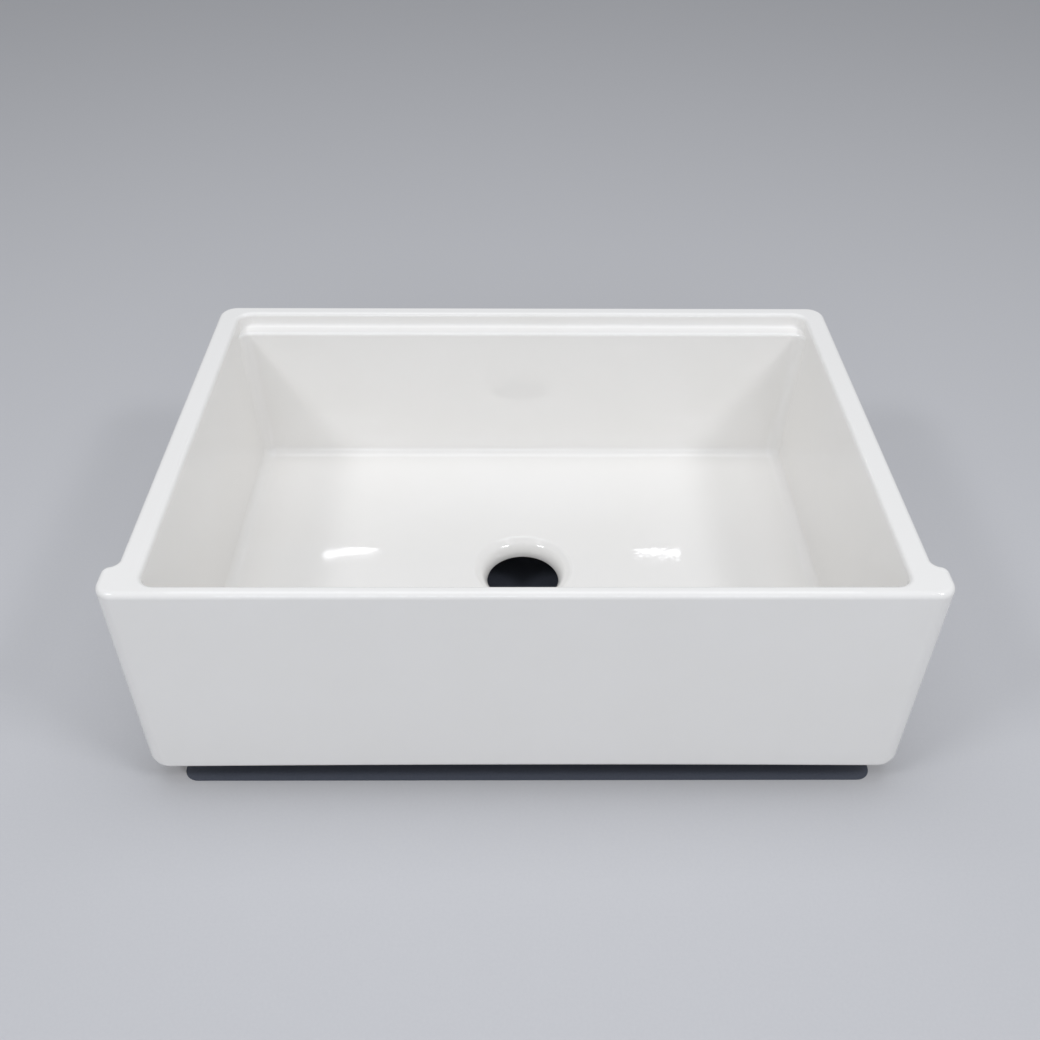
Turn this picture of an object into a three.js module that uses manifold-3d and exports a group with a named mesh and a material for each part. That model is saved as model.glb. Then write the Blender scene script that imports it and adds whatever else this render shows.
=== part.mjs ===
// Farmhouse apron front sink: one fireclay casting with a deep bowl, a drain hole,
// a ledge along the back wall and a wide apron, standing on four rubber pads.
//
// Millimetres, +Z up, the apron faces -Y. The origin is the middle of the footprint,
// on the surface that the pads stand on.

import * as THREE from "three";
import { mergeVertices } from "three/addons/utils/BufferGeometryUtils.js";
import Module from "manifold-3d";

// Outside of the casting.
const apronWidth = 762;
const sinkHeight = 245;
const sinkDepth = 508;
const earReach = 13; // how far the apron stands past the tub on each side, at the rim
const earDepth = 38.5; // apron face to the corner where the ear turns in
const earSlant = 3; // how far the ear's back face leans on its way in to the tub
const earRounding = 0.96; // share of the ear's back face that its round and the fillet at its root take
const apronEdgeRadius = 18; // upright edges of the apron face
const apronLowerCornerRadius = 13; // lower corners of the apron, seen from the front
const lowerEdgeRadius = 6.5;
const apronBow = 2.5; // rise of the apron's lower edge at the middle of its length
const bowHeight = 60; // the bow has faded out this far above the lower edge
const rimEdgeRadius = 6;
const backCornerRadius = 20;
const outerDraft = THREE.MathUtils.degToRad(1.5);

// Bowl.
const frontRim = 13;
const sideRim = 25;
const backRim = 18;
const rimInnerRadius = 4.5;
const bowlCornerRadius = 15;
const bowlFloorRadius = 12;
const wallDraft = THREE.MathUtils.degToRad(3);
const floorFall = 5; // the floor runs down this much to the drain

// Ledge along the back wall.
const ledgeDrop = 16.5;
const ledgeWidth = 17.5;
const ledgeRootRadius = 4;
const ledgeNoseRadius = 3.5;

// Drain hole and the dish that takes the strainer's flange.
const drainFromFront = 247;
const drainBore = 83;
const dishWidth = 16.5; // edge of the bore to the outer edge of the dish
const dishLand = 2; // level band round the dish, before its edge turns down
const dishEdgeRadius = 8;
const dishDrop = 9.3; // floor to the corner where the dish would meet the bore
const lipRadius = 18; // the round that takes that corner's place
const drainWall = 12.7; // that corner to the underside
const boreLowerRadius = 2;

// Hollow of the underside, inside the skirt that the casting stands on.
const hollowDepth = 28; // sole to the flat ceiling round the drain
const skirtWidth = 36;
const skirtDraft = THREE.MathUtils.degToRad(6);
const hollowCornerRadius = 24;
const hollowRootRadius = 8;

// Rubber pads under the skirt.
const padLength = 80;
const padWidth = 24;
const padHeight = 25;
const padEndRadius = 8;
const padEdgeRadius = 2;
const padTaper = 1.5; // each side draws in this much from the foot to the top
const padFromFront = 60; // apron face to the near end of a front pad
const padFromBack = 50; // back of the skirt to the far end of a back pad
const bondGap = 0.3; // thickness of the glue line over a pad

// How finely the rounds are cut.
const cornerSteps = 6;
const roundSteps = 6;
const padEdgeSteps = 2;
const turnSteps = 48;
const bowSteps = 16;
const sideSteps = 6; // along each straight side of the bowl
const leastRadius = 0.5; // of a corner that a round draws in
const overlap = 0.2; // how far one shape runs into another that it joins
const clearOf = 5; // how far a cut runs past the face that it opens

const front = -sinkDepth / 2;
const back = sinkDepth / 2;
const tubHalfWidth = apronWidth / 2 - earReach;
const earBack = Math.hypot(earReach, earSlant); // length of the ear's back face, at the rim
const earRadius = (earRounding * earBack) / 2 / Math.tan(Math.atan2(earReach, earSlant) / 2);
const drainFloor = hollowDepth + drainWall + dishDrop; // height of the floor round the dish
const bowlDepth = sinkHeight - drainFloor - floorFall; // rim to the floor at the foot of the walls
const dishRadius = drainBore / 2 + dishWidth;
const sinkBase = padHeight + bondGap;

const wasm = await Module();
wasm.setup();

// How far a quarter round of this radius draws a face in, at a height below or above its edge.
function drawnIn(radius, fromEdge) {
  const inside = Math.max(radius - fromEdge, 0);
  return radius - Math.sqrt(radius ** 2 - inside ** 2);
}

// Heights of a quarter round's facets, from its edge to where it meets the flat.
function roundHeights(radius, steps = roundSteps) {
  return Array.from({ length: steps + 1 }, (_, i) => {
    return radius * (1 - Math.cos((i / steps) * (Math.PI / 2)));
  });
}

// An outline through its corners, each one an [x, y, radius]. A rounded corner always
// has the same number of points, so that outlines of one kind can be lofted together.
function roundCorners(corners) {
  const points = [];
  corners.forEach(([x, y, radius], i) => {
    const corner = new THREE.Vector2(x, y);
    if (radius <= 0) {
      points.push(corner);
      return;
    }
    const before = corners[(i + corners.length - 1) % corners.length];
    const after = corners[(i + 1) % corners.length];
    const toBefore = new THREE.Vector2(before[0] - x, before[1] - y).normalize();
    const toAfter = new THREE.Vector2(after[0] - x, after[1] - y).normalize();
    const halfAngle = Math.acos(toBefore.dot(toAfter)) / 2;
    const bisector = toBefore.clone().add(toAfter).normalize();
    const centre = corner.clone().addScaledVector(bisector, radius / Math.sin(halfAngle));
    const setBack = radius / Math.tan(halfAngle);
    const from = corner.clone().addScaledVector(toBefore, setBack).sub(centre).angle();
    const to = corner.clone().addScaledVector(toAfter, setBack).sub(centre).angle();
    const turn = THREE.MathUtils.euclideanModulo(to - from + Math.PI, 2 * Math.PI) - Math.PI;
    for (let step = 0; step <= cornerSteps; step += 1) {
      const angle = from + (turn * step) / cornerSteps;
      points.push(new THREE.Vector2(Math.cos(angle), Math.sin(angle)).multiplyScalar(radius).add(centre));
    }
  });
  return points;
}

function rectangle(halfWidth, near, far, radius) {
  return roundCorners([
    [halfWidth, near, radius],
    [halfWidth, far, radius],
    [-halfWidth, far, radius],
    [-halfWidth, near, radius],
  ]);
}

// A ring of a loft: an outline at a height.
function ring(outline, height) {
  return outline.map((point) => new THREE.Vector3(point.x, point.y, height));
}

// A rounded rectangle with points along its straight sides as well.
function divideSides(outline) {
  const points = [];
  outline.forEach((point, i) => {
    points.push(point);
    if ((i + 1) % (cornerSteps + 1) > 0) return;
    const next = outline[(i + 1) % outline.length];
    for (let step = 1; step < sideSteps; step += 1) {
      points.push(point.clone().lerp(next, step / sideSteps));
    }
  });
  return points;
}

// The solid through a stack of rings, from the lowest to the highest, closed at both ends.
function loft(rings) {
  const count = rings[0].length;
  const last = (rings.length - 1) * count;
  const faces = [];
  for (let level = 0; level < last; level += count) {
    for (let i = 0; i < count; i += 1) {
      const next = (i + 1) % count;
      faces.push(level + i, level + next, level + count + next);
      faces.push(level + i, level + count + next, level + count + i);
    }
  }
  THREE.ShapeUtils.triangulateShape(rings[0], []).forEach(([a, b, c]) => faces.push(a, c, b));
  THREE.ShapeUtils.triangulateShape(rings.at(-1), []).forEach(([a, b, c]) => {
    faces.push(last + a, last + b, last + c);
  });
  const geometry = new THREE.BufferGeometry().setFromPoints(rings.flat());
  geometry.setIndex(faces);
  return solidOf(geometry);
}

// A closed three.js geometry as a solid that can be joined and cut.
function solidOf(geometry) {
  const bare = geometry.clone();
  bare.deleteAttribute("normal");
  bare.deleteAttribute("uv");
  const merged = mergeVertices(bare, 1e-5);
  const corners = merged.index.array;
  const kept = [];
  for (let i = 0; i < corners.length; i += 3) {
    const [a, b, c] = corners.slice(i, i + 3);
    if (a !== b && b !== c && c !== a) kept.push(a, b, c);
  }
  return new wasm.Manifold(
    new wasm.Mesh({
      numProp: 3,
      vertProperties: new Float32Array(merged.attributes.position.array),
      triVerts: new Uint32Array(kept),
    }),
  );
}

function geometryOf(solid) {
  const mesh = solid.getMesh();
  const geometry = new THREE.BufferGeometry();
  geometry.setAttribute("position", new THREE.BufferAttribute(mesh.vertProperties, 3));
  geometry.setIndex(new THREE.BufferAttribute(mesh.triVerts, 1));
  geometry.computeVertexNormals();
  return geometry;
}

// Below the rim's round, the tub's sides and back lean in towards the base by one draft.
function tubHalfWidthAt(height) {
  const below = Math.max(sinkHeight - rimEdgeRadius - height, 0);
  return tubHalfWidth - below * Math.tan(outerDraft);
}

// The apron: a slab as wide as the cabinet front, with an ear past the tub on each side.
// Its upper edges are rounded like the rim, and its lower edge bows up in the middle.
function apronRing(height) {
  const rim = drawnIn(rimEdgeRadius, sinkHeight - height);
  const sole = drawnIn(lowerEdgeRadius, height);
  const halfWidth = apronWidth / 2 - rim - drawnIn(apronLowerCornerRadius, height);
  const face = front + rim + sole;
  const root = tubHalfWidthAt(height) - rim - sole - overlap;
  const earTurn = Math.atan2(apronWidth / 2 - root, earSlant);
  const slip = rim * Math.tan(earTurn / 2);
  const earCorner = front + earDepth - slip;
  const rootCorner = earCorner + earSlant;
  const rootRadius = earRadius + rim;
  const rootEnd = rootCorner + rootRadius * Math.tan(earTurn / 2);
  const outline = roundCorners([
    [halfWidth, face, Math.max(apronEdgeRadius - rim, leastRadius)],
    [halfWidth, earCorner, Math.max(earRadius - rim, leastRadius)],
    [root, rootCorner, rootRadius],
    [root, rootEnd, 0],
    [-root, rootEnd, 0],
    [-root, rootCorner, rootRadius],
    [-halfWidth, earCorner, Math.max(earRadius - rim, leastRadius)],
    [-halfWidth, face, Math.max(apronEdgeRadius - rim, leastRadius)],
  ]);
  for (let step = 1; step < bowSteps; step += 1) {
    const reach = halfWidth - apronEdgeRadius;
    outline.push(new THREE.Vector2(((2 * step) / bowSteps - 1) * reach, face));
  }
  const fade = Math.max(1 - height / bowHeight, 0);
  return outline.map(({ x, y }) => {
    const across = 1 - (x / (apronWidth / 2)) ** 2;
    const through = 1 - (y - front) / (rootEnd - front);
    return new THREE.Vector3(x, y, height + apronBow * across * through * fade);
  });
}

function apron() {
  const lower = roundHeights(apronLowerCornerRadius);
  const upper = roundHeights(rimEdgeRadius).reverse().map((below) => sinkHeight - below);
  return loft([...lower, bowHeight, ...upper].map(apronRing));
}

// The tub behind the apron. Its near end lies inside the apron's ears.
function tubRing(height) {
  const edge = drawnIn(rimEdgeRadius, sinkHeight - height) + drawnIn(lowerEdgeRadius, height);
  const halfWidth = tubHalfWidthAt(height) - edge;
  const near = front + earDepth;
  const far = back - (tubHalfWidth - tubHalfWidthAt(height)) - edge;
  const radius = Math.max(backCornerRadius - edge, leastRadius);
  const outline = roundCorners([
    [halfWidth, near, 0],
    [halfWidth, far, radius],
    [-halfWidth, far, radius],
    [-halfWidth, near, 0],
  ]);
  return ring(outline, height);
}

function tub() {
  const lower = roundHeights(lowerEdgeRadius);
  const upper = roundHeights(rimEdgeRadius).reverse().map((below) => sinkHeight - below);
  return loft([...lower, ...upper].map(tubRing));
}

// One ring of the bowl's space, at a depth below the rim. The back wall stands further
// back above the ledge, by setBack.
function bowlRing(depth, setBack) {
  const lean = depth * Math.tan(wallDraft);
  const flare = drawnIn(rimInnerRadius, depth);
  const foot = drawnIn(bowlFloorRadius, bowlDepth - depth);
  const outward = flare - lean - foot;
  const outline = rectangle(
    tubHalfWidth - sideRim + outward,
    front + frontRim - outward,
    back - backRim - ledgeWidth + setBack + outward,
    Math.max(bowlCornerRadius + flare - foot, leastRadius),
  );
  return ring(divideSides(outline), sinkHeight - depth);
}

// The space inside the bowl: the rim's inner round, the ledge with its fillet and nose,
// the leaning walls, the fillet at their foot and the floor that falls to the drain.
function bowl() {
  const rimRound = roundHeights(rimInnerRadius).map((depth) => bowlRing(depth, ledgeWidth));
  const ledgeRoot = roundHeights(ledgeRootRadius).reverse().map((above) => {
    return bowlRing(ledgeDrop - above, ledgeWidth - drawnIn(ledgeRootRadius, above));
  });
  const ledgeNose = roundHeights(ledgeNoseRadius).map((below) => {
    return bowlRing(ledgeDrop + below, drawnIn(ledgeNoseRadius, below));
  });
  const wallFoot = roundHeights(bowlFloorRadius).reverse().map((above) => {
    return bowlRing(bowlDepth - above, 0);
  });
  const floorEdge = wallFoot.at(-1);
  const drainEdge = floorEdge.map((point) => {
    const angle = Math.atan2(point.y - front - drainFromFront, point.x);
    return new THREE.Vector3(
      dishRadius * Math.cos(angle),
      front + drainFromFront + dishRadius * Math.sin(angle),
      drainFloor,
    );
  });
  const mouth = rimRound[0].map((point) => point.clone().setZ(sinkHeight + clearOf));
  return loft([mouth, ...rimRound, ...ledgeRoot, ...ledgeNose, ...wallFoot, drainEdge].reverse());
}

// The drain: a dish for the strainer's flange, a rounded lip and the bore through the floor.
function drain() {
  const bore = drainBore / 2;
  const profile = roundCorners([
    [0, hollowDepth - clearOf, 0],
    [bore + clearOf, hollowDepth - clearOf, 0],
    [bore + clearOf, hollowDepth, 0],
    [bore, hollowDepth, boreLowerRadius],
    [bore, drainFloor - dishDrop, lipRadius],
    [dishRadius - dishLand, drainFloor, dishEdgeRadius],
    [dishRadius, drainFloor, 0],
    [dishRadius, drainFloor + clearOf, 0],
    [0, drainFloor + clearOf, 0],
  ]);
  const turned = new THREE.LatheGeometry(profile, turnSteps);
  turned.rotateX(Math.PI / 2);
  turned.translate(0, front + drainFromFront, 0);
  return solidOf(turned);
}

// The hollow under the floor. Its ceiling is flat, so that the strainer's nut can seat
// anywhere round the bore.
function hollowRing(height) {
  const root = drawnIn(hollowRootRadius, hollowDepth - height);
  const drawn = height * Math.tan(skirtDraft) + root;
  const lean = tubHalfWidth - tubHalfWidthAt(0);
  const outline = rectangle(
    tubHalfWidth - lean - skirtWidth - drawn,
    front + skirtWidth + drawn,
    back - lean - skirtWidth - drawn,
    Math.max(hollowCornerRadius - root, leastRadius),
  );
  return ring(outline, height);
}

function hollow() {
  const root = roundHeights(hollowRootRadius).reverse().map((below) => hollowDepth - below);
  return loft([-clearOf, ...root].map(hollowRing));
}

// A moulded rubber pad, standing on the floor at the origin.
function pad() {
  const lower = roundHeights(padEdgeRadius, padEdgeSteps);
  const upper = lower.map((below) => padHeight - below).reverse();
  const rings = [...lower, ...upper].map((height) => {
    const edge = drawnIn(padEdgeRadius, height) + drawnIn(padEdgeRadius, padHeight - height);
    const drawn = edge + (padTaper * height) / padHeight;
    const halfLength = padLength / 2 - drawn;
    return ring(rectangle(padWidth / 2 - drawn, -halfLength, halfLength, padEndRadius - edge), height);
  });
  return loft(rings);
}

const fireclay = new THREE.MeshStandardMaterial({
  name: "glazed_fireclay",
  color: 0xf3f3f1,
  roughness: 0.12,
  metalness: 0,
});
const rubber = new THREE.MeshStandardMaterial({
  name: "black_rubber",
  color: 0x1c1c1e,
  roughness: 0.85,
  metalness: 0,
});

const sink = new THREE.Group();

const body = apron().add(tub()).subtract(bowl()).subtract(drain()).subtract(hollow());
const bodyMesh = new THREE.Mesh(geometryOf(body), fireclay);
bodyMesh.name = "sink_body";
bodyMesh.position.z = sinkBase;
sink.add(bodyMesh);

// The pads stand under the side walls' skirt, along the middle of its flat sole.
const soleMiddle = tubHalfWidthAt(0) - (lowerEdgeRadius + skirtWidth) / 2;
const padRows = {
  front: front + padFromFront + padLength / 2,
  back: back - padFromBack - padLength / 2,
};
for (const [row, y] of Object.entries(padRows)) {
  for (const [side, x] of Object.entries({ left: -soleMiddle, right: soleMiddle })) {
    const padMesh = new THREE.Mesh(geometryOf(pad()), rubber);
    padMesh.name = `support_pad_${row}_${side}`;
    padMesh.position.set(x, y, 0);
    sink.add(padMesh);
  }
}

export default sink;
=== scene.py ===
import math

import bmesh
import bpy
from mathutils import Matrix, Vector


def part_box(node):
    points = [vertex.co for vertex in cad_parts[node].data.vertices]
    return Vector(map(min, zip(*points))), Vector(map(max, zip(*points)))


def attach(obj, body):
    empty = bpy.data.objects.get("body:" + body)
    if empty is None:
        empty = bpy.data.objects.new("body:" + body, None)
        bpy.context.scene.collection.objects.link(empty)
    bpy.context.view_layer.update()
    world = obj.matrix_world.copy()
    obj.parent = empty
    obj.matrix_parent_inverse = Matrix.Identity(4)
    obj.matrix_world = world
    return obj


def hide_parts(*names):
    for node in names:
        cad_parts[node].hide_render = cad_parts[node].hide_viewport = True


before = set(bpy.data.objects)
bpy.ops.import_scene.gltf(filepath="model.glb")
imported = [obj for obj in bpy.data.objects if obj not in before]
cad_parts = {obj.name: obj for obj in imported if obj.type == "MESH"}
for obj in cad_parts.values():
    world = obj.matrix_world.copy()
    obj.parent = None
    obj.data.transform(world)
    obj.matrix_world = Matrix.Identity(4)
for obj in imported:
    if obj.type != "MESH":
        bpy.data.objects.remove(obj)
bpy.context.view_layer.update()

# ---------------------------------------------------------------------------------------
# The casting. One piece of fireclay, cast in a plaster mould, fettled by hand, glazed and
# fired. Its rim, ledge, bowl and apron run into each other by soft rounds, and it stands
# on the bare sole of a skirt that goes round its hollow underside.

mm = 0.001
casting_low, casting_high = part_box("sink_body")
sole = casting_low.z
casting_height = casting_high.z - sole
half_width = casting_high.x
face = casting_low.y
back = casting_high.y

ear_reach = 13 * mm  # how far the apron stands past the tub, at the rim
ear_depth = 38.5 * mm
ear_slant = 3 * mm
ear_rounding = 0.96  # of the ear's step that its two rounds take up
ear_turn = math.atan2(ear_reach, ear_slant)
ear_radius = ear_rounding * math.hypot(ear_reach, ear_slant) / 2 / math.tan(ear_turn / 2)
apron_edge_radius = 18 * mm
apron_lower_corner_radius = 13 * mm
lower_edge_radius = 6.5 * mm
rim_edge_radius = 6 * mm
back_corner_radius = 20 * mm
outer_draft = math.tan(math.radians(1.5))
tub_half_width = half_width - ear_reach

front_rim = 13 * mm
side_rim = 25 * mm
back_rim = 18 * mm
rim_inner_radius = 4.5 * mm
bowl_corner_radius = 15 * mm
bowl_floor_radius = 12 * mm
wall_draft = math.tan(math.radians(3))
floor_fall = 5 * mm

ledge_drop = 16.5 * mm
ledge_width = 17.5 * mm
ledge_root_radius = 4 * mm
ledge_nose_radius = 3.5 * mm

skirt_width = 36 * mm
skirt_draft = math.tan(math.radians(6))
hollow_depth = 28 * mm
hollow_corner_radius = 24 * mm
hollow_root_radius = 8 * mm

drain_axis = Vector((0, face + 247 * mm, 0))
bore_radius = 41.5 * mm
dish_width = 16.5 * mm
dish_land = 2 * mm
dish_edge_radius = 8 * mm
dish_drop = 9.3 * mm
lip_radius = 18 * mm
drain_wall = 12.7 * mm
bore_lower_radius = 2 * mm
drain_floor = hollow_depth + drain_wall + dish_drop  # above the sole, as all heights here
bowl_depth = casting_height - drain_floor - floor_fall

bow_rise = 2.5 * mm  # of the apron's lower edge, at the middle of its length
bow_height = 60 * mm  # above the sole, where the bow has faded out
bow_reach = 48 * mm  # behind the apron's face, where it has faded out too

least_radius = 0.5 * mm
long_side = 100 * mm  # an edge over this is a side, and not part of a corner's round
near = 0.01 * mm  # two places this close are taken as one
merge_distance = 0.001 * mm
corner_steps = 12
side_cuts = 31  # along each long side, so that it can bow and the floor can fall
floor_cuts = 15
floor_steps = 12  # in the quarter round at the foot of the bowl's walls
lower_corner_steps = 12
rim_steps = 8
hollow_steps = 8
ledge_steps = 6


def drawn_in(radius, from_edge):
    """How far a quarter round draws a face in, this far from its edge."""
    inside = max(radius - from_edge, 0)
    return radius - math.sqrt(radius**2 - inside**2)


def round_levels(radius, steps):
    """How far each facet of a quarter round lies from its edge, up to where it meets the flat."""
    return [radius * (1 - math.cos(math.pi / 2 * i / steps)) for i in range(steps + 1)]


def outer_level(height):
    """The outside at a height: the right half of its corners, from the apron to the back."""
    rim = drawn_in(rim_edge_radius, casting_height - height)
    foot = drawn_in(lower_edge_radius, height)
    lean = max(casting_height - rim_edge_radius - height, 0) * outer_draft
    end = half_width - rim - drawn_in(apron_lower_corner_radius, height)
    side = tub_half_width - lean - rim - foot
    turn = math.atan2(half_width - side, ear_slant)
    ear = face + ear_depth - rim * math.tan(turn / 2)
    return [
        (end, face + rim + foot, max(apron_edge_radius - rim, least_radius)),
        (end, ear, max(ear_radius - rim, least_radius)),
        (side, ear + ear_slant, ear_radius + rim),
        (side, back - lean - rim - foot, back_corner_radius - rim - foot),
    ]


def bowl_level(depth, set_back):
    """The bowl at a depth below the rim. Above the ledge, its back wall is set back further."""
    flare = drawn_in(rim_inner_radius, depth)
    foot = drawn_in(bowl_floor_radius, bowl_depth - depth)
    outward = flare - foot - depth * wall_draft
    side = tub_half_width - side_rim + outward
    radius = max(bowl_corner_radius + flare - foot, least_radius)
    return [
        (side, face + front_rim - outward, radius),
        (side, back - back_rim - ledge_width + set_back + outward, radius),
    ]


def hollow_level(height):
    """The hollow of the underside at a height above the sole."""
    root = drawn_in(hollow_root_radius, hollow_depth - height)
    lean = (casting_height - rim_edge_radius) * outer_draft
    drawn = skirt_width + height * skirt_draft + root
    side = tub_half_width - lean - drawn
    radius = hollow_corner_radius - root
    return [(side, face + drawn, radius), (side, back - lean - drawn, radius)]


def round_off(bm, geom, offset, steps, affect):
    """Bevels edges or vertices into a round that starts at this offset from them."""
    bmesh.ops.bevel(
        bm,
        geom=geom,
        offset=offset,
        offset_type="OFFSET",
        segments=steps,
        profile=0.5,
        affect=affect,
        clamp_overlap=False,
        material=-1,
    )


def lay_outline(bm, corners):
    """Lays a loop of edges through corners. Each is a (point, radius), rounded to its radius."""
    points = [bm.verts.new(point) for point, _ in corners]
    bm.faces.new(points)
    for i, (point, radius) in enumerate(corners):
        if radius > 0:
            to_last = corners[i - 1][0] - point
            to_next = corners[(i + 1) % len(corners)][0] - point
            offset = radius / math.tan(to_last.angle(to_next) / 2)
            round_off(bm, [points[i]], offset, corner_steps, "VERTICES")
    (outline,) = bm.faces
    edges = list(outline.edges)
    bmesh.ops.delete(bm, geom=[outline], context="FACES_ONLY")
    return edges


def lay_level(bm, right_half, height):
    """Lays one level of the casting as a loop of edges, with its long sides cut up."""
    left_half = [(-x, y, radius) for x, y, radius in reversed(right_half)]
    corners = [(Vector((x, y, sole + height)), radius) for x, y, radius in right_half + left_half]
    edges = lay_outline(bm, corners)
    long_sides = [edge for edge in edges if edge.calc_length() > long_side]
    cut = bmesh.ops.subdivide_edges(bm, edges=long_sides, cuts=side_cuts)
    pieces = [part for part in cut["geom_split"] if isinstance(part, bmesh.types.BMEdge)]
    return list(set(edges) | set(pieces))


def skin(bm, loops):
    """Bridges each loop of edges to the next, and returns the edges that cross the last gap."""
    for here, there in zip(loops, loops[1:]):
        bridge = bmesh.ops.bridge_loops(bm, edges=here + there)
    return bridge["edges"]


def ring_at(bm, radius, height):
    """The drain's edges that lie on a circle of this radius, at this height."""
    on_it = {
        vert
        for vert in bm.verts
        if abs((vert.co - drain_axis).xy.length - radius) < near
        and abs(vert.co.z - sole - height) < near
    }
    return [edge for edge in bm.edges if on_it.issuperset(edge.verts)]


def place_object(bm, name):
    """Makes a bmesh an object at the origin."""
    mesh = bpy.data.meshes.new(name)
    bm.to_mesh(mesh)
    bm.free()
    placed = bpy.data.objects.new(name, mesh)
    bpy.context.scene.collection.objects.link(placed)
    return placed


# The levels are all laid first, as loops.
bm = bmesh.new()
outer_heights = round_levels(apron_lower_corner_radius, lower_corner_steps) + [bow_height]
rim_levels = reversed(round_levels(rim_edge_radius, rim_steps))
outer_heights += [casting_height - below for below in rim_levels]
outside = [lay_level(bm, outer_level(height), height) for height in outer_heights]

bowl_steps = [(depth, ledge_width) for depth in round_levels(rim_inner_radius, rim_steps)]
for above in reversed(round_levels(ledge_root_radius, ledge_steps)):
    bowl_steps.append((ledge_drop - above, ledge_width - drawn_in(ledge_root_radius, above)))
for below in round_levels(ledge_nose_radius, ledge_steps):
    bowl_steps.append((ledge_drop + below, drawn_in(ledge_nose_radius, below)))
for above in reversed(round_levels(bowl_floor_radius, floor_steps)):
    bowl_steps.append((bowl_depth - above, 0))
bowl = [lay_level(bm, bowl_level(*step), casting_height - step[0]) for step in bowl_steps]

root_levels = round_levels(hollow_root_radius, hollow_steps)
hollow_heights = [hollow_depth - below for below in root_levels] + [0]
hollow = [lay_level(bm, hollow_level(height), height) for height in hollow_heights]

# The drain is turned from the profile of its dish, lip and bore.
dish_radius = bore_radius + dish_width
ceiling_radius = bore_radius + 2 * bore_lower_radius
drain_profile = [
    (dish_radius, drain_floor, 0),
    (dish_radius - dish_land, drain_floor, dish_edge_radius),
    (bore_radius, drain_floor - dish_drop, lip_radius),
    (bore_radius, hollow_depth, bore_lower_radius),
    (ceiling_radius, hollow_depth, 0),
]
corners = [(drain_axis + Vector((r, 0, sole + h)), radius) for r, h, radius in drain_profile]
profile = lay_outline(bm, corners)
chord = max(profile, key=lambda edge: edge.calc_length())
profile.remove(chord)
bmesh.ops.delete(bm, geom=[chord], context="EDGES")
bmesh.ops.spin(
    bm,
    geom=profile + list({vert for edge in profile for vert in edge.verts}),
    cent=drain_axis,
    axis=(0, 0, 1),
    angle=2 * math.pi,
    steps=len(bowl[0]),
    use_merge=True,
    use_duplicate=False,
)

# Then the skin goes over the loops. The floor is level along the walls and round the dish,
# and slopes down between them.
skin(bm, outside)
skin(bm, bowl)
skin(bm, hollow)
floor_lines = skin(bm, [bowl[-1], ring_at(bm, dish_radius, drain_floor)])
skin(bm, [hollow[0], ring_at(bm, ceiling_radius, hollow_depth)])
bmesh.ops.subdivide_edges(bm, edges=floor_lines, cuts=floor_cuts, use_grid_fill=True)
for vert in bm.verts:
    fall = (sole + drain_floor + floor_fall - vert.co.z) / floor_fall
    if 0 < fall < 1 and (vert.co - drain_axis).xy.length > dish_radius:
        vert.co.z = sole + drain_floor + floor_fall * (1 - fall * fall * (3 - 2 * fall))
bmesh.ops.triangle_fill(bm, use_beauty=True, edges=outside[-1] + bowl[0], normal=(0, 0, 1))
bmesh.ops.triangle_fill(bm, use_beauty=True, edges=outside[0] + hollow[-1], normal=(0, 0, -1))
bmesh.ops.remove_doubles(bm, verts=bm.verts, dist=merge_distance)
bmesh.ops.dissolve_degenerate(bm, edges=bm.edges, dist=merge_distance)
bmesh.ops.recalc_face_normals(bm, faces=bm.faces)

# The apron's lower edge bows up, as such an edge does when it dries and is fired. The
# glaze stops short of the sole, and there is none in the hollow.
glazed = bm.verts.layers.float.new("glazed")
glaze_line = 3 * mm  # above the sole, where half the glaze has stopped
hollow_side, hollow_front, _ = hollow_level(0)[0]
hollow_back = hollow_level(0)[1][1]
for vert in bm.verts:
    height = vert.co.z - sole
    across = 1 - (vert.co.x / half_width) ** 2
    through = max(1 - (vert.co.y - face) / bow_reach, 0)
    fade = max(1 - height / bow_height, 0)
    vert.co.z += bow_rise * across * through * fade
    in_hollow = (
        abs(vert.co.x) < hollow_side + mm
        and hollow_front - mm < vert.co.y < hollow_back + mm
        and height < hollow_depth + mm
    )
    vert[glazed] = 0 if in_hollow else min(max(height / (2 * glaze_line), 0), 1)

for part in bm.faces:
    part.smooth = True
casting = place_object(bm, "fireclay_casting")
even_shine = casting.modifiers.new("even_shine", "WEIGHTED_NORMAL")
even_shine.mode = "FACE_AREA"
even_shine.weight = 50
even_shine.keep_sharp = False
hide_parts("sink_body")
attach(casting, "root")


def linear(hex_colour):
    """An sRGB hex colour as the linear RGBA that a shader takes."""
    channels = [int(hex_colour[i : i + 2], 16) / 255 for i in (0, 2, 4)]
    return [c / 12.92 if c <= 0.04045 else ((c + 0.055) / 1.055) ** 2.4 for c in channels] + [1]


def add_node(tree, kind, inputs=(), **settings):
    """Adds a node. inputs are (socket, value) pairs, and a value may be another node's output."""
    node = tree.nodes.new(kind)
    for name, value in settings.items():
        setattr(node, name, value)
    for socket, value in inputs:
        if isinstance(value, bpy.types.NodeSocket):
            tree.links.new(value, node.inputs[socket])
        else:
            node.inputs[socket].default_value = value
    return node


def start_material(name):
    """Starts a material. Returns it, its node tree and the coordinates of its patterns."""
    material = bpy.data.materials.new(name)
    material.use_nodes = True
    tree = material.node_tree
    tree.nodes.clear()
    place = add_node(tree, "ShaderNodeTexCoord").outputs["Object"]
    return material, tree, place


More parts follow.
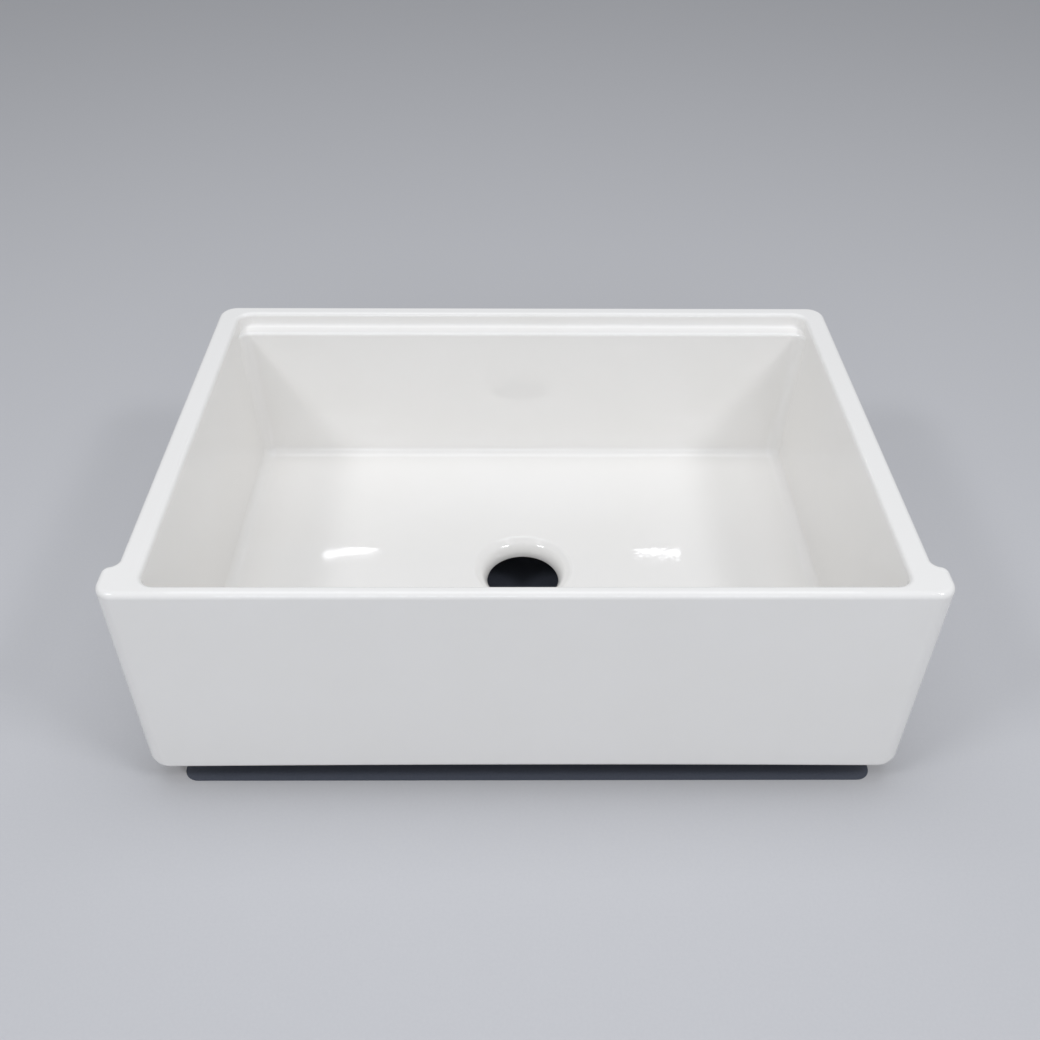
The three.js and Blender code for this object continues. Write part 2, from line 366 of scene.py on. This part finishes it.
# Glazed fireclay: a coarse buff clay under a thick white glaze that melted as it was
# fired. It gives a hard gloss whose reflections ripple, because the glaze pulled itself
# smooth over a surface sponged by hand. The bare clay of the sole is dull and sandy.
ripple_length = 7 * mm
ripple_depth = 0.02 * mm
peel_length = 3 * mm
peel_depth = 0.001 * mm
pooling_length = 90 * mm  # of the slow change between thicker and thinner glaze
run_length = 14 * mm  # of the waves in the glaze's lower edge
run_height = 0.5  # as a share of the band in which the glaze stops
glaze_starts = 0.72  # on the scale of the glazed attribute, with the waves added
glaze_covers = 0.78
grit_length = 1.2 * mm
grit_depth = 0.25 * mm
ceramic_ior = 1.52

fireclay, tree, place = start_material("glazed_fireclay")
line = add_node(tree, "ShaderNodeAttribute", attribute_name="glazed").outputs["Fac"]
runs = add_node(
    tree, "ShaderNodeTexNoise", [("Vector", place), ("Scale", 1 / run_length), ("Detail", 3)]
).outputs["Fac"]
edge = add_node(
    tree, "ShaderNodeMath", [(0, runs), (1, run_height), (2, line)], operation="MULTIPLY_ADD"
).outputs[0]
glaze = add_node(
    tree,
    "ShaderNodeMapRange",
    [("Value", edge), ("From Min", glaze_starts), ("From Max", glaze_covers)],
).outputs[0]
pooling = add_node(
    tree, "ShaderNodeTexNoise", [("Vector", place), ("Scale", 1 / pooling_length), ("Detail", 2)]
).outputs["Fac"]
white = add_node(
    tree,
    "ShaderNodeMix",
    [("Factor", pooling), (6, linear("f2f0ec")), (7, linear("f5f3f0"))],
    data_type="RGBA",
).outputs[2]
grit = add_node(
    tree, "ShaderNodeTexNoise", [("Vector", place), ("Scale", 1 / grit_length), ("Detail", 4)]
).outputs["Fac"]
clay = add_node(
    tree,
    "ShaderNodeMix",
    [("Factor", grit), (6, linear("b8a98f")), (7, linear("e2d8c4"))],
    data_type="RGBA",
).outputs[2]
colour = add_node(
    tree, "ShaderNodeMix", [("Factor", glaze), (6, clay), (7, white)], data_type="RGBA"
).outputs[2]
roughness = add_node(
    tree, "ShaderNodeMapRange", [("Value", glaze), ("To Min", 0.85), ("To Max", 0.045)]
).outputs[0]
ripple = add_node(
    tree, "ShaderNodeTexNoise", [("Vector", place), ("Scale", 1 / ripple_length), ("Detail", 1)]
).outputs["Fac"]
peel = add_node(
    tree, "ShaderNodeTexNoise", [("Vector", place), ("Scale", 1 / peel_length), ("Detail", 1)]
).outputs["Fac"]
rippled = add_node(
    tree, "ShaderNodeBump", [("Height", ripple), ("Distance", ripple_depth)]
).outputs[0]
peeled = add_node(
    tree, "ShaderNodeBump", [("Height", peel), ("Distance", peel_depth), ("Normal", rippled)]
).outputs[0]
bare = add_node(tree, "ShaderNodeMath", [(0, 1), (1, glaze)], operation="SUBTRACT").outputs[0]
sandy = add_node(
    tree, "ShaderNodeMath", [(0, grit), (1, bare)], operation="MULTIPLY"
).outputs[0]
surface = add_node(
    tree, "ShaderNodeBump", [("Height", sandy), ("Distance", grit_depth), ("Normal", peeled)]
).outputs[0]
shader = add_node(
    tree,
    "ShaderNodeBsdfPrincipled",
    [("Base Color", colour), ("Roughness", roughness), ("IOR", ceramic_ior), ("Normal", surface)],
).outputs[0]
add_node(tree, "ShaderNodeOutputMaterial", [("Surface", shader)])
casting.data.materials.append(fireclay)

# ---------------------------------------------------------------------------------------
# The four pads. Each is a black rubber block, moulded with drawn-in sides and soft edges,
# and glued under the skirt's sole beside the underside's hollow.

pad_end_radius = 8 * mm
pad_end_steps = 10
pad_edge_radius = 2 * mm
pad_edge_steps = 5
pad_taper = 1.5 * mm

# Moulded black rubber. It is dull, with the fine grain of its mould, and greyer in
# patches where its wax has bloomed.
grain_length = 0.8 * mm  # coarser than a real mould's, so that it shows
grain_depth = 0.05 * mm
bloom_length = 18 * mm
rubber_ior = 1.52

rubber, tree, place = start_material("black_rubber")
grain = add_node(
    tree, "ShaderNodeTexNoise", [("Vector", place), ("Scale", 1 / grain_length), ("Detail", 3)]
).outputs["Fac"]
bloom = add_node(
    tree, "ShaderNodeTexNoise", [("Vector", place), ("Scale", 1 / bloom_length), ("Detail", 4)]
).outputs["Fac"]
colour = add_node(
    tree,
    "ShaderNodeMix",
    [("Factor", bloom), (6, linear("17171a")), (7, linear("2b2b2d"))],
    data_type="RGBA",
).outputs[2]
roughness = add_node(
    tree, "ShaderNodeMapRange", [("Value", bloom), ("To Min", 0.62), ("To Max", 0.85)]
).outputs[0]
surface = add_node(
    tree, "ShaderNodeBump", [("Height", grain), ("Distance", grain_depth)]
).outputs[0]
shader = add_node(
    tree,
    "ShaderNodeBsdfPrincipled",
    [("Base Color", colour), ("Roughness", roughness), ("IOR", rubber_ior), ("Normal", surface)],
).outputs[0]
add_node(tree, "ShaderNodeOutputMaterial", [("Surface", shader)])


def rise(edge):
    """How much higher one end of an edge is than the other."""
    return abs(edge.verts[0].co.z - edge.verts[1].co.z)


def block(low, high, corner_radius, steps):
    """A bmesh of a block between two points, with its upright edges rounded."""
    bm = bmesh.new()
    bmesh.ops.create_cube(bm, size=1)
    bmesh.ops.scale(bm, vec=high - low, verts=bm.verts)
    bmesh.ops.translate(bm, vec=(low + high) / 2, verts=bm.verts)
    uprights = [edge for edge in bm.edges if rise(edge) > near]
    round_off(bm, uprights, corner_radius, steps, "EDGES")
    return bm


for row in ("front", "back"):
    for side in ("left", "right"):
        node = f"support_pad_{row}_{side}"
        low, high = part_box(node)
        centre = (low + high) / 2
        size = high - low
        bm = block(low, high, pad_end_radius, pad_end_steps)
        top = [vert for vert in bm.verts if vert.co.z > centre.z]
        shrink = Vector((1 - 2 * pad_taper / size.x, 1 - 2 * pad_taper / size.y, 1))
        bmesh.ops.scale(bm, vec=shrink, verts=top, space=Matrix.Translation(-centre))
        brims = [edge for edge in bm.edges if rise(edge) < near]
        round_off(bm, brims, pad_edge_radius, pad_edge_steps, "EDGES")
        bmesh.ops.recalc_face_normals(bm, faces=bm.faces)
        for part in bm.faces:
            part.smooth = True
        pad = place_object(bm, f"rubber_pad_{row}_{side}")
        pad.data.materials.append(rubber)
        pad.modifiers.new("even_shine", "WEIGHTED_NORMAL")
        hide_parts(node)
        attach(pad, "root")

# ---------------------------------------------------------------------------------------
# The studio: a plain pale floor whose far edge lies outside the camera's view, large soft
# lamps overhead, to each side and in front, and two thin ones behind that glint on the
# bowl's floor. The sink stands on a dark mat that is painted shade.

floor_size = 16
fibre_length = 3 * mm  # far coarser than paper's own, so that it shows

paper, tree, place = start_material("pale_paper")
fibre = add_node(
    tree, "ShaderNodeTexNoise", [("Vector", place), ("Scale", 1 / fibre_length), ("Detail", 2)]
).outputs["Fac"]
colour = add_node(
    tree,
    "ShaderNodeMix",
    [("Factor", fibre), (6, linear("c6c6c9")), (7, linear("cbcbcd"))],
    data_type="RGBA",
).outputs[2]
shader = add_node(
    tree, "ShaderNodeBsdfPrincipled", [("Base Color", colour), ("Roughness", 0.75)]
).outputs[0]
add_node(tree, "ShaderNodeOutputMaterial", [("Surface", shader)])

bm = bmesh.new()
bmesh.ops.create_grid(bm, x_segments=1, y_segments=1, size=floor_size / 2)
studio_floor = place_object(bm, "studio_floor")
studio_floor.data.materials.append(paper)

# The mat is thin, matt felt whose dark colour is painted shade. It ends inside the sink's
# outline, and it darkens the open drain and the gap under the apron as deep shade would.
mat_front = face + 4 * mm
mat_back = back - 30 * mm
mat_left = -352 * mm
mat_right = 360 * mm
mat_corner_radius = 15 * mm
mat_corner_steps = 8
mat_thickness = 0.3 * mm
nap_length = 2 * mm  # coarser than felt's own, so that it shows

# A dark navy grey: painted shade for the floor under the sink, seen through the drain and below
# the apron.
shade_felt, tree, place = start_material("painted_shade_felt")
nap = add_node(
    tree, "ShaderNodeTexNoise", [("Vector", place), ("Scale", 1 / nap_length), ("Detail", 3)]
).outputs["Fac"]
colour = add_node(
    tree,
    "ShaderNodeMix",
    [("Factor", nap), (6, linear("4a4e59")), (7, linear("565b68"))],
    data_type="RGBA",
).outputs[2]
shader = add_node(
    tree, "ShaderNodeBsdfPrincipled", [("Base Color", colour), ("Roughness", 0.95)]
).outputs[0]
add_node(tree, "ShaderNodeOutputMaterial", [("Surface", shader)])

low = Vector((mat_left, mat_front, 0))
high = Vector((mat_right, mat_back, mat_thickness))
# The dark sheet under the sink is painted shade.
painted_shade_mat = place_object(block(low, high, mat_corner_radius, mat_corner_steps), "painted_shade_mat")
painted_shade_mat.data.materials.append(shade_felt)

# The walls of the studio are brighter where they are seen or mirrored than as a light.
world = bpy.data.worlds.new("studio")
bpy.context.scene.world = world
world.use_nodes = True
tree = world.node_tree
tree.nodes.clear()
rays = add_node(tree, "ShaderNodeLightPath").outputs
seen = add_node(
    tree,
    "ShaderNodeMath",
    [(0, rays["Is Camera Ray"]), (1, rays["Is Glossy Ray"])],
    operation="MAXIMUM",
).outputs[0]
seen = add_node(
    tree, "ShaderNodeMath", [(0, seen), (1, rays["Is Transmission Ray"])], operation="MAXIMUM"
).outputs[0]
strength = add_node(
    tree, "ShaderNodeMapRange", [("Value", seen), ("To Min", 0.4), ("To Max", 0.6)]
).outputs[0]
sky = add_node(
    tree, "ShaderNodeBackground", [("Color", linear("f6f9fe")), ("Strength", strength)]
).outputs[0]
add_node(tree, "ShaderNodeOutputWorld", [("Surface", sky)])


def hang_lamp(name, place, width, depth, watts, colour):
    """Hangs a rectangular lamp that faces the sink."""
    light = bpy.data.lights.new(name, "AREA")
    light.shape = "RECTANGLE"
    light.size = width
    light.size_y = depth
    light.energy = watts
    light.color = linear(colour)[:3]
    lamp = bpy.data.objects.new(name, light)
    lamp.location = place
    lamp.rotation_mode = "QUATERNION"
    lamp.rotation_quaternion = (sink_middle - Vector(place)).to_track_quat("-Z", "Y")
    bpy.context.scene.collection.objects.link(lamp)


sink_middle = Vector((0, 0, 0.2))
lamp_white = "f9fbff"
softbox_white = "f1f6ff"
hang_lamp("overhead", (0, 0.1, 2.7), 2.2, 1.4, 17.5, lamp_white)
hang_lamp("left_key", (-1.8, -1.3, 2.6), 0.8, 0.4, 19, lamp_white)
hang_lamp("right_key", (1.8, -1.3, 2.6), 0.8, 0.4, 20, lamp_white)
hang_lamp("front_softbox", (0, -2.9, 1.72), 2.2, 0.5, 14, softbox_white)
hang_lamp("left_glint", (-0.54, 2.25, 2.105), 0.22, 0.012, 0.15, lamp_white)
hang_lamp("right_glint", (0.46, 2.25, 2.105), 0.15, 0.012, 0.1, lamp_white)

# The camera stands where the photo's did, as fitted to the sink's edges.
focal_length = 1085.1  # in pixels of the 1040 pixel frame
frame_width = 1040
sensor = 36  # in millimetres, as a camera's own sizes are
camera_place = Vector((-13.8, -934.0, 931.0)) * mm
camera_yaw = 0.617  # in degrees, as the next two
camera_pitch = 40.202
camera_roll = 0.419
view = bpy.data.cameras.new("photo_view")
view.sensor_width = sensor
view.lens = focal_length / frame_width * sensor
view.clip_end = 60
camera = bpy.data.objects.new("photo_view", view)
turn = Matrix.Rotation(math.radians(-camera_yaw), 4, "Z")
tilt = Matrix.Rotation(math.radians(90 - camera_pitch), 4, "X")
roll = Matrix.Rotation(math.radians(camera_roll), 4, "Z")
camera.matrix_world = Matrix.Translation(camera_place) @ turn @ tilt @ roll
bpy.context.scene.collection.objects.link(camera)
bpy.context.scene.camera = camera
bpy.context.scene.view_settings.view_transform = "Standard"
